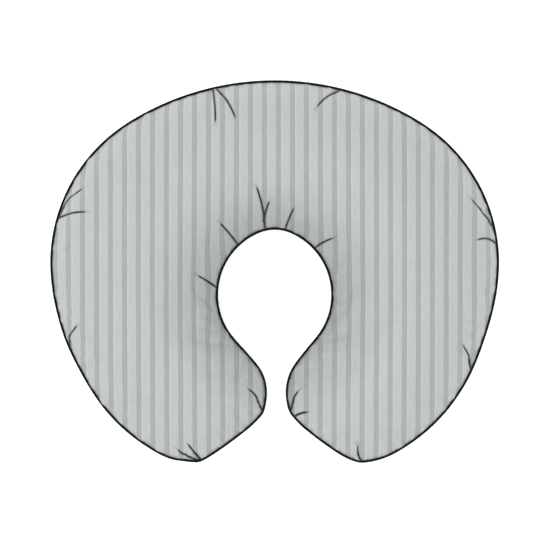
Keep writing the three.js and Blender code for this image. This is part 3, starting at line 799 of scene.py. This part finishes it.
def piping():
    """A black bias strip folded round a cord. Its gathers make the tube very slightly uneven."""
    inner_radius = PIPING_RADIUS - STRIP_WALL
    leaf = math.pi - math.asin(LEAF_HALF / PIPING_RADIUS)
    inner_leaf = math.pi - math.asin(LEAF_SLIT / inner_radius)
    outside = arc_points(PIPING_RADIUS, leaf, -leaf, 15)
    inside = arc_points(inner_radius, -inner_leaf, inner_leaf, 9)
    lower_leaf = [[LEAF_END, -LEAF_HALF], [LEAF_END, -LEAF_SLIT]]
    upper_leaf = [[LEAF_END, LEAF_SLIT], [LEAF_END, LEAF_HALF]]
    profile = np.vstack([outside, lower_leaf, inside, upper_leaf])

    def profile_at(place):
        tube = (profile[:, 0] > LEAF_END + 1)[None, :, None]
        uneven = PIPING_CRIMP * wave_along_seam(place, CRIMP_WAVE, 31)
        return profile[None] * (1 + (PIPING_NAP + uneven)[:, None, None] * tube)

    piece = seam_sweep("piping_strip", profile_at, PIPING_SPACING, [black_twill()])
    enlist(piece, "piping_bias_strip")


def piping_cord():
    """Three-ply cotton cord inside the strip."""
    angle = np.linspace(0, 2 * math.pi, 13)[:-1]

    def profile_at(place):
        lobes = np.cos(3 * (angle[None] - 2 * math.pi * place[:, None] / CORD_LAY))
        radius = CORD_RADIUS + CORD_LOBE * lobes
        return np.stack([radius * np.cos(angle), radius * np.sin(angle)], axis=2)

    piece = seam_sweep("piping_cord", profile_at, CORD_SPACING, [cotton_cord()])
    enlist(piece, "piping_filler_cord")


# ---- Zip ----


def zip_tape(name, start, end, node):
    """A flat woven band along the zip, from one place down the cone to another."""
    angles = np.linspace(-ZIP_ANGLE - TAPE_PAST_STOPS, ZIP_ANGLE + TAPE_PAST_STOPS, 240)
    down = np.linspace(start, end, 10)
    face = [on_cone(d, TAPE_FACE) for d in down]
    underside = [on_cone(d, TAPE_FACE - TAPE_THICKNESS) for d in down[::-1]]
    points = round_pivot(face + underside, angles)
    piece = make_object(name, points, tube_faces(len(angles), 2 * len(down)), [woven_tape()])
    enlist(piece, node)


def zip_coil(name, side, phase, node):
    """Nylon monofilament in a flattened coil. Its loops reach just past the chain's centre."""
    half_angle = ZIP_ANGLE - COIL_SHORT_OF_TAPE
    turns = int(2 * half_angle * CHAIN[0] / COIL_PITCH)
    wire_steps, wire_sides = 12, 6
    winding = np.arange(turns * wire_steps) / wire_steps + phase
    turn = 2 * math.pi * winding
    down = side * COIL_MIDDLE + COIL_HALF_WIDTH * np.cos(turn)
    out = COIL_LIFT + COIL_HALF_HEIGHT * np.sin(turn)
    section = CHAIN + down[:, None] * CONE_DOWN + out[:, None] * CONE_OUT
    angle = -half_angle + (winding - phase) / turns * 2 * half_angle
    centre = np.column_stack([ZIP_PIVOT + headings(angle) * section[:, :1], section[:, 1]])
    points, faces = wire(centre, COIL_WIRE, wire_sides)
    enlist(make_object(name, points, faces, [zip_nylon()]), node)


def wire(centre, radius, sides):
    """A round wire along a line of points, with capped ends."""
    tangent = unit(np.gradient(centre, axis=0))
    guide = np.array([0.31, 0.27, 0.91])  # a direction that no wire here runs along
    first = unit(np.cross(tangent, guide))
    second = np.cross(tangent, first)
    turn = np.linspace(0, 2 * math.pi, sides + 1)[:-1]
    radius = np.broadcast_to(radius, len(centre))[:, None, None]
    ring = np.cos(turn)[None, :, None] * first[:, None] + np.sin(turn)[None, :, None] * second[:, None]
    points = (centre[:, None] + radius * ring).reshape(-1, 3)
    faces = [face[::-1] for face in tube_faces(len(centre), sides)]
    return points, faces


def stitches(name, path, outward_at, length=2.6, gap=0.9, thread=0.2):
    """A row of thread stitches on a path of points. Each dips into the cloth at its ends."""
    distance = travelled(path)
    all_points, all_faces, start = [], [], 0
    count = int(distance[-1] // (length + gap))
    t = np.linspace(0, 1, 7)
    for k in range(count):
        at = k * (length + gap) + gap / 2 + t * length
        rise = thread * (1.6 * np.sin(math.pi * t) - 0.7)
        line = sampled(path, distance, at) + sampled(outward_at, distance, at) * rise[:, None]
        points, faces = wire(line, thread * (0.55 + 0.45 * np.sin(math.pi * t)), 6)
        all_points.append(points)
        all_faces += [[corner + start for corner in face] for face in faces]
        start += len(points)
    enlist(make_object(name, np.vstack(all_points), all_faces, [sage_thread()]))


def cone_path(down, out, angles):
    points = round_pivot([on_cone(down, out)], angles)
    direction = np.column_stack([headings(angles) * CONE_OUT[0], np.full(len(angles), CONE_OUT[1])])
    return points, direction


def on_surface(piece, points, lift):
    """Points moved onto a piece's surface, with its normals there."""
    mesh = piece.data
    corners = [vertex.co[:] for vertex in mesh.vertices]
    tree = BVHTree.FromPolygons(corners, [tuple(face.vertices) for face in mesh.polygons])
    found = [tree.find_nearest(Vector(point * MM)) for point in points]
    normals = np.array([hit[1][:] for hit in found])
    return np.array([hit[0][:] for hit in found]) / MM + normals * lift, normals


def zip_stitching(lower_panel):
    """Topstitching along the hem, and a row of stitches through each tape beside its coil."""
    angles = np.linspace(-ZIP_ANGLE, ZIP_ANGLE, 200)
    hem, _ = cone_path(HEM_FROM_CHAIN + HEM_STITCHES, 0, angles)
    path, normals = on_surface(lower_panel, hem, THREAD_LIFT)
    stitches("hem_stitching", path, normals)
    for name, down in (("above", -TAPE_STITCHES), ("below", TAPE_STITCHES)):
        path, normals = cone_path(down, TAPE_FACE + THREAD_LIFT, angles[2:-2])
        stitches("tape_stitching_" + name, path, normals, 1.7, 0.7, 0.16)


def bevelled(node, width, material):
    """A CAD node kept as it is, with its edges softened and a finish of its own."""
    piece = frame["nodes"][node]
    piece.data.materials.clear()
    piece.data.materials.append(material)
    piece.modifiers.new("weld", "WELD").merge_threshold = 1e-6
    bevel = piece.modifiers.new("bevel", "BEVEL")
    bevel.width = width * MM
    bevel.segments = 3
    bevel.limit_method = "ANGLE"
    bevel.angle_limit = math.radians(35)
    bevel.harden_normals = True


def zip_hardware():
    bevelled("zip_slider_body", 0.25, satin_metal())
    for node in ("zip_pull_tab", "zip_top_stop_upper", "zip_top_stop_lower", "zip_bottom_stop"):
        bevelled(node, 0.3, satin_metal())


# ---- Care label ----


def label_frame():
    """The label's top middle, its directions along the seam, down and out, its width and length."""
    joint = JOINTS["label_flap"]
    top, along = np.array(joint["pos_m"]) / MM, np.array(joint["axis"])
    points = node_points("care_label") - top
    length_ways = points - np.outer(points @ along, along)
    down = length_ways[np.linalg.norm(length_ways, axis=1).argmax()]
    down -= along * (down @ along)
    down /= np.linalg.norm(down)
    width = np.ptp(points @ along)
    return top, along, down, np.cross(along, down), width, (points @ down).max()


def care_label():
    """A blank satin ribbon folded double, its fold at the bottom and its ends in the seam."""
    top, along, down, out, width, length = label_frame()
    layer, spread = 0.22, 0.35  # from the cover to the back leaf, and from there to the front one
    sewn_in, fold_depth, steps = 1.0, 0.7, 24
    front = np.column_stack([
        np.linspace(0, 1, steps) * (length - fold_depth) - sewn_in,
        np.full(steps, spread + layer),
    ])
    bend = np.linspace(math.pi / 2, -math.pi / 2, 9)[1:-1]
    fold = np.column_stack([
        length - fold_depth - sewn_in + 0.6 * np.cos(bend),
        spread / 2 + layer + (spread / 2) * np.sin(bend),
    ])
    back = np.column_stack([front[::-1, 0], np.full(steps, layer)])
    centre = np.vstack([front, fold, back])
    centre[:, 1] += 0.5 * (np.clip(centre[:, 0], 0, None) / length) ** 2
    hanging = np.clip(centre[:, 0] / length, 0, 1)
    sideways = np.linspace(-width / 2, width / 2, 13)
    points = []
    for x in sideways:
        cup = 0.35 * (x / width) ** 2
        wave = 0.12 * np.sin(centre[:, 0] / 5.0 + x / 6.0)
        away = centre[:, 1] + (cup + wave) * hanging
        points.append(top + np.outer(centre[:, 0], down) + np.outer(away, out) + along * x)
    faces = []
    count = len(centre)
    for row in range(len(sideways) - 1):
        for k in range(count - 1):
            a = row * count + k
            faces.append((a, a + 1, a + count + 1, a + count))
    piece = make_object("label_ribbon", np.vstack(points), faces, [label_satin()])
    thicken(piece, layer * 0.8)
    enlist(piece, "care_label", "label")


# ---- Liner and fill ----


def inset_of(node):
    """How far a node's edge is from the seam line."""
    return (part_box("piping_bias_strip")[1].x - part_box(node)[1].x) / MM - PIPING_RADIUS


def liner_panel(name, node, is_top, seed):
    edge = inset_of(node) + LINER_SHORT
    plan, triangles = plan_mesh(edge, *LINER_SPACING)
    depth, place = seam_places(plan)
    swell = membrane(plan, triangles)
    if is_top:
        z = top_height(swell, SEAM_Z + LINER_RIM, top_of(node) - LINER_DROP)
    else:
        z = bottom_height(swell, SEAM_Z - LINER_RIM, bottom_of(node) + LINER_RISE)
        triangles = triangles[:, ::-1]
    points = np.column_stack([plan, z])
    normals = vertex_normals(points, triangles)
    points = gathered(points, normals, depth - edge, place, LINER_GATHER, seed)
    if not is_top:
        points[:, 2] = np.maximum(points[:, 2], bottom_of(node))
    piece = make_object(name, points, triangles, [liner_cloth()])
    thicken(piece, LINER_THICKNESS)
    enlist(piece, node)


def fill():
    """Lofted fibre: one closed body whose surface has soft tufts."""
    edge = inset_of("fill_core") + FILL_SHORT
    plan, triangles = plan_mesh(edge, *FILL_SPACING)
    swell = membrane(plan, triangles)
    rim = edge_vertices(triangles)
    upper = top_height(swell, SEAM_Z, top_of("fill_core") - FILL_DROP)
    lower = bottom_height(swell, SEAM_Z, bottom_of("fill_core") + FILL_RISE)
    count = len(plan)
    points = np.vstack([np.column_stack([plan, z]) for z in (upper, lower)])
    twin = np.arange(count) + count
    twin[rim] = rim
    faces = np.vstack([triangles, twin[triangles][:, ::-1]])
    normals = vertex_normals(points, faces)
    large = np.array([noise.noise(Vector(point / LARGE_TUFT)) for point in points])
    small = np.array([noise.noise(Vector(point / SMALL_TUFT)) for point in points])
    tufts = np.clip(large + 0.6 * small, -1, 0.3)
    points = points + normals * (TUFT_HEIGHT * tufts)[:, None]
    used, faces = only_used(faces, len(points))
    piece = make_object("fibre_fill", points[used], faces, [fill_fibre()])
    enlist(piece, "fill_core")


# ---- Stage, camera and lights ----


def add_stage():
    size, height = 8000, -0.6
    corners = [(x * size, y * size, height) for x, y in ((-1, -1), (1, -1), (1, 1), (-1, 1))]
    floor = make_object("floor", corners, [(0, 1, 2, 3)], [floor_material()], smooth=False)


def add_camera():
    """Square on from above, through a long lens, with +Y up in the frame."""
    camera = bpy.data.objects.new("camera", bpy.data.cameras.new("camera"))
    camera.data.lens, camera.data.sensor_width = LENS, SENSOR
    distance = FRAME_WIDTH * LENS / SENSOR
    camera.location = (CAMERA_X, CAMERA_Y, SEAM_Z * MM + distance)
    camera.data.clip_end = 40
    bpy.context.scene.collection.objects.link(camera)
    bpy.context.scene.camera = camera


def add_lights():
    world = bpy.data.worlds.new("studio")
    world.use_nodes = True
    background = world.node_tree.nodes["Background"]
    background.inputs["Color"].default_value = (1, 1, 1, 1)
    background.inputs["Strength"].default_value = WORLD_STRENGTH
    bpy.context.scene.world = world
    for name, towards, strength, angle in SUNS:
        data = bpy.data.lights.new(name, "SUN")
        data.energy, data.angle = strength, math.radians(angle)
        sun = bpy.data.objects.new(name, data)
        sun.rotation_mode = "QUATERNION"
        sun.rotation_quaternion = Vector(towards).to_track_quat("Z", "Y")
        bpy.context.scene.collection.objects.link(sun)
    bpy.context.scene.view_settings.view_transform = "Standard"


# ---- Materials: functools.cache keeps each one, so that it is built only once ----


class Shader:
    """A new material's node tree, with short calls for the nodes used here."""

    def __init__(self, name, **inputs):
        self.material = bpy.data.materials.new(name)
        self.material.use_nodes = True
        self.tree = self.material.node_tree
        self.surface = self.tree.nodes["Principled BSDF"]
        for key, value in inputs.items():
            self.surface.inputs[key.replace("_", " ")].default_value = value

    def node(self, kind, **settings):
        made = self.tree.nodes.new(kind)
        for key, value in settings.items():
            setattr(made, key, value)
        return made

    def link(self, source, target):
        if hasattr(source, "is_output"):
            self.tree.links.new(source, target)
        else:
            target.default_value = source

    def math(self, operation, *values):
        made = self.node("ShaderNodeMath", operation=operation)
        for socket, value in zip(made.inputs, values):
            self.link(value, socket)
        return made.outputs[0]

    def attribute(self, name):
        return self.node("ShaderNodeAttribute", attribute_name=name).outputs["Fac"]

    def position(self, scale=1.0):
        """Object position in mm, times scale."""
        coordinates = self.node("ShaderNodeTexCoord").outputs["Object"]
        scaled = self.node("ShaderNodeVectorMath", operation="SCALE")
        self.link(coordinates, scaled.inputs[0])
        scaled.inputs["Scale"].default_value = scale / MM
        return scaled.outputs[0]

    def split(self, vector):
        made = self.node("ShaderNodeSeparateXYZ")
        self.link(vector, made.inputs[0])
        return made.outputs

    def noise(self, vector, scale, detail=2.0, roughness=0.5):
        made = self.node("ShaderNodeTexNoise")
        self.link(vector, made.inputs["Vector"])
        made.inputs["Scale"].default_value = scale
        made.inputs["Detail"].default_value = detail
        made.inputs["Roughness"].default_value = roughness
        return made.outputs["Fac"]

    def mix(self, factor, first, second):
        made = self.node("ShaderNodeMix", data_type="RGBA")
        self.link(factor, made.inputs[0])
        self.link(first, made.inputs[6])
        self.link(second, made.inputs[7])
        return made.outputs[2]

    def ramp(self, value, stops):
        made = self.node("ShaderNodeValToRGB")
        self.link(value, made.inputs[0])
        elements = made.color_ramp.elements
        while len(elements) < len(stops):
            elements.new(0.5)
        for element, (position, color) in zip(elements, stops):
            element.position = position
            element.color = (*color, 1)
        return made.outputs[0]

    def scale_color(self, color, factor):
        made = self.node("ShaderNodeVectorMath", operation="SCALE")
        self.link(color, made.inputs[0])
        self.link(factor, made.inputs["Scale"])
        return made.outputs[0]

    def bump(self, height, distance, strength=1.0):
        made = self.node("ShaderNodeBump")
        self.link(height, made.inputs["Height"])
        made.inputs["Distance"].default_value = distance * MM
        made.inputs["Strength"].default_value = strength
        return made.outputs[0]

    def finish(self, color, normal=None, roughness=None):
        self.link(color, self.surface.inputs["Base Color"])
        if normal is not None:
            self.link(normal, self.surface.inputs["Normal"])
        if roughness is not None:
            self.link(roughness, self.surface.inputs["Roughness"])
        return self.material

    def sheen(self, weight, roughness=0.4, tint=(1, 1, 1)):
        self.surface.inputs["Sheen Weight"].default_value = weight
        self.surface.inputs["Sheen Roughness"].default_value = roughness
        self.surface.inputs["Sheen Tint"].default_value = (*tint, 1)

    def stretched(self, scale):
        """Object position in mm, times a scale of its own for each axis."""
        made = self.node("ShaderNodeVectorMath", operation="MULTIPLY")
        self.link(self.position(), made.inputs[0])
        made.inputs[1].default_value = scale
        return made.outputs[0]

    def ribs(self, distance, pitch):
        """A wave from 0 to 1 that repeats every pitch mm of distance."""
        wave = self.math("SINE", self.math("MULTIPLY", distance, 2 * math.pi / pitch))
        return self.math("MULTIPLY_ADD", wave, 0.5, 0.5)

    def weave(self, pitch):
        """Height of a plain weave, 0 to 1, on whichever of the three planes the surface faces most."""
        x, y, z = self.split(self.position(math.pi / pitch))
        normal = self.split(self.node("ShaderNodeNewGeometry").outputs["Normal"])
        total = None
        for u, v, facing in ((x, y, normal[2]), (x, z, normal[1]), (y, z, normal[0])):
            warp, weft = self.math("SINE", u), self.math("SINE", v)
            over = self.math("MULTIPLY", warp, weft)
            rounding = self.math("MULTIPLY", self.math("ABSOLUTE", warp), 0.3)
            thread = self.math("MULTIPLY_ADD", over, 0.35, rounding)
            weight = self.math("POWER", self.math("ABSOLUTE", facing), 4.0)
            part = self.math("MULTIPLY", thread, weight)
            total = part if total is None else self.math("ADD", total, part)
        return self.math("ADD", total, 0.35)


def linear(red, green, blue, gain=1.0):
    """An sRGB colour in 0 to 255 as linear light."""
    return tuple(gain * ((c / 255 + 0.055) / 1.055) ** 2.4 for c in (red, green, blue))


FABRIC_GAIN = 0.868
GROUND = linear(197, 202, 198, FABRIC_GAIN)
STRIPE = linear(170, 178, 173, FABRIC_GAIN)


@functools.cache
def striped_cotton():
    """Sage grey cotton with darker stripes. Each stripe has a paler thread down its middle. Painted
    shade darkens the weave's hollows a little, and the bottom of each pucker's fold to near black.
    """
    shader = Shader("striped_cotton", Roughness=0.85)
    shader.sheen(0.25, 0.5, (0.95, 1.0, 0.97))
    start = 0.5 - STRIPE_OFFSET / STRIPE_REPEAT
    turns = shader.math("MULTIPLY_ADD", shader.attribute("stripe"), 1 / STRIPE_REPEAT, start)
    drift = shader.noise(shader.position(0.02), 1.0, 2.0)
    turns = shader.math("ADD", turns, shader.math("MULTIPLY_ADD", drift, 0.02, -0.01))
    across = shader.math("FRACT", turns)
    pale = linear(204, 209, 205, FABRIC_GAIN)
    middle = linear(176, 184, 179, FABRIC_GAIN)
    stops = [
        (0.0, GROUND),
        (0.27, GROUND),
        (0.315, linear(192, 197, 193, FABRIC_GAIN)),
        (0.345, STRIPE),
        (0.44, STRIPE),
        (0.50, middle),
        (0.56, STRIPE),
        (0.655, STRIPE),
        (0.685, GROUND),
        (0.74, pale),
        (0.81, GROUND),
    ]
    color = shader.ramp(across, stops)
    weave = shader.weave(0.75)
    blotch = shader.noise(shader.position(0.03), 1.0, 3.0)
    slub = shader.noise(shader.stretched((0.9, 0.05, 0.05)), 1.0, 3.0)
    mottle = shader.noise(shader.position(0.35), 1.0, 4.0, 0.65)
    # Random yarn variation (blotches, slubs, mottle), with the weave's painted shade added below.
    yarn_tone_and_weave_shade = shader.math("MULTIPLY_ADD", blotch, 0.05, 0.765)
    yarn_tone_and_weave_shade = shader.math("MULTIPLY_ADD", slub, 0.21, yarn_tone_and_weave_shade)
    yarn_tone_and_weave_shade = shader.math("MULTIPLY_ADD", mottle, 0.19, yarn_tone_and_weave_shade)
    # Painted shade: the weave's hollows a little darker than its raised threads.
    yarn_tone_and_weave_shade = shader.math("MULTIPLY_ADD", weave, 0.05, yarn_tone_and_weave_shade)
    color = shader.scale_color(color, yarn_tone_and_weave_shade)
    # Painted shade: the colour goes near black at the bottom of each pucker's fold.
    color = shader.mix(shader.attribute("fold"), color, (0.002, 0.002, 0.002, 1))
    normal = shader.bump(weave, 0.12, 0.6)
    return shader.finish(color, normal)


@functools.cache
def floor_material():
    white = (1, 1, 1, 1)
    shader = Shader("floor_paper", Roughness=0.9, Specular_IOR_Level=0.1, Emission_Color=white)
    grain = shader.noise(shader.position(0.01), 1.0, 2.0)
    color = shader.ramp(grain, [(0.0, (0.93, 0.93, 0.93)), (1.0, (0.96, 0.96, 0.96))])
    seen = shader.node("ShaderNodeLightPath").outputs["Is Camera Ray"]
    glow = shader.math("MULTIPLY_ADD", seen, FLOOR_GLOW - FLOOR_LIGHT, FLOOR_LIGHT)
    shader.link(glow, shader.surface.inputs["Emission Strength"])
    return shader.finish(color)


@functools.cache
def black_twill():
    shader = Shader("black_twill", Roughness=0.9, Specular_IOR_Level=0.15)
    shader.sheen(0.02, 0.4)
    x, y, z = shader.split(shader.position())
    diagonal = shader.math("ADD", shader.math("ADD", x, y), shader.math("MULTIPLY", z, 1.7))
    rib = shader.ribs(diagonal, 0.9)
    color = shader.ramp(rib, [(0.0, (0.003, 0.003, 0.003)), (1.0, (0.008, 0.008, 0.009))])
    return shader.finish(color, shader.bump(rib, 0.12, 0.7))


@functools.cache
def cotton_cord():
    shader = Shader("cotton_cord", Roughness=0.95)
    fuzz = shader.noise(shader.position(), 1.5, 3.0)
    color = shader.ramp(fuzz, [(0.3, (0.62, 0.58, 0.49)), (0.7, (0.82, 0.79, 0.71))])
    return shader.finish(color, shader.bump(fuzz, 0.1))


@functools.cache
def woven_tape():
    """Herringbone polyester tape in the cover's grey."""
    shader = Shader("woven_tape", Roughness=0.7)
    shader.sheen(0.15, 0.4)
    x, _, z = shader.split(shader.position())
    zigzag = shader.math("PINGPONG", z, 1.1)
    rib = shader.ribs(shader.math("ADD", x, zigzag), 0.6)
    color = shader.ramp(rib, [(0.0, linear(138, 146, 141)), (1.0, linear(166, 174, 169))])
    return shader.finish(color, shader.bump(rib, 0.1, 0.6))


@functools.cache
def zip_nylon():
    shader = Shader("zip_nylon", Roughness=0.38, Coat_Weight=0.1)
    haze = shader.noise(shader.position(0.4), 1.0, 2.0)
    color = shader.ramp(haze, [(0.3, linear(128, 137, 132)), (0.7, linear(148, 157, 152))])
    return shader.finish(color)


@functools.cache
def sage_thread():
    shader = Shader("sage_thread", Roughness=0.55)
    shader.sheen(0.2, 0.3)
    x, _, z = shader.split(shader.position())
    ply = shader.ribs(shader.math("ADD", x, z), 0.35)
    color = shader.ramp(ply, [(0.0, linear(168, 177, 171)), (1.0, linear(205, 212, 207))])
    return shader.finish(color, shader.bump(ply, 0.05, 0.5))


@functools.cache
def satin_metal():
    """Nickel-plated zinc with a fine brushed grain, lighter and darker in patches at random."""
    shader = Shader("satin_metal", Metallic=1.0)
    grain = shader.noise(shader.stretched((0.6, 6.0, 6.0)), 1.0, 3.0)
    wear = shader.noise(shader.position(0.25), 1.0, 3.0)
    color = shader.ramp(wear, [(0.3, (0.50, 0.50, 0.49)), (0.7, (0.66, 0.66, 0.65))])
    roughness = shader.math("MULTIPLY_ADD", grain, 0.22, 0.2)
    return shader.finish(color, shader.bump(grain, 0.02, 0.4), roughness)


@functools.cache
def label_satin():
    """White satin with fine warp lines. It carries no print."""
    shader = Shader("label_satin", Roughness=0.32, Anisotropic=0.5)
    shader.sheen(0.3, 0.3)
    x, y, _ = shader.split(shader.position())
    warp = shader.ribs(shader.math("ADD", x, y), 0.3)
    color = shader.ramp(warp, [(0.0, (0.50, 0.50, 0.48)), (1.0, (0.62, 0.62, 0.60))])
    return shader.finish(color, shader.bump(warp, 0.03, 0.5))


@functools.cache
def liner_cloth():
    """Thin white cloth with the small diamond pattern of bonded fibre."""
    shader = Shader("liner_cloth", Roughness=0.9)
    x, y, _ = shader.split(shader.position(math.pi / 1.6))
    rising = shader.math("SINE", shader.math("ADD", x, y))
    falling = shader.math("SINE", shader.math("SUBTRACT", x, y))
    dots = shader.math("SMOOTH_MIN", shader.math("MULTIPLY", rising, falling), 0.5, 0.3)
    blotch = shader.noise(shader.position(0.04), 1.0, 3.0)
    color = shader.ramp(blotch, [(0.3, (0.74, 0.72, 0.68)), (0.7, (0.84, 0.83, 0.79))])
    return shader.finish(color, shader.bump(dots, 0.12, 0.5))


@functools.cache
def fill_fibre():
    shader = Shader("fill_fibre", Roughness=1.0, Subsurface_Weight=0.15)
    strands = shader.noise(shader.stretched((1.4, 0.5, 0.9)), 1.0, 6.0, 0.7)
    color = shader.ramp(strands, [(0.35, (0.76, 0.76, 0.75)), (0.65, (0.92, 0.92, 0.91))])
    return shader.finish(color, shader.bump(strands, 0.8, 0.8))


# ---- Build ----

cover_top()
lower_panel = cover_bottom()
piping()
piping_cord()
zip_tape("zip_tape_above", -CHAIN_TO_SEAM - 0.1, -TAPE_EDGE, "zip_tape_upper")
zip_tape("zip_tape_below", TAPE_EDGE, HEM_FROM_CHAIN + TAPE_UNDER_HEM, "zip_tape_lower")
zip_coil("zip_coil_above", -1, 0.0, "zip_coil_upper")
zip_coil("zip_coil_below", 1, 0.5, "zip_coil_lower")
zip_stitching(lower_panel)
zip_hardware()
care_label()
liner_panel("liner_top", "liner_top_panel", True, 41)
liner_panel("liner_bottom", "liner_bottom_panel", False, 43)
fill()
add_stage()
add_camera()
add_lights()
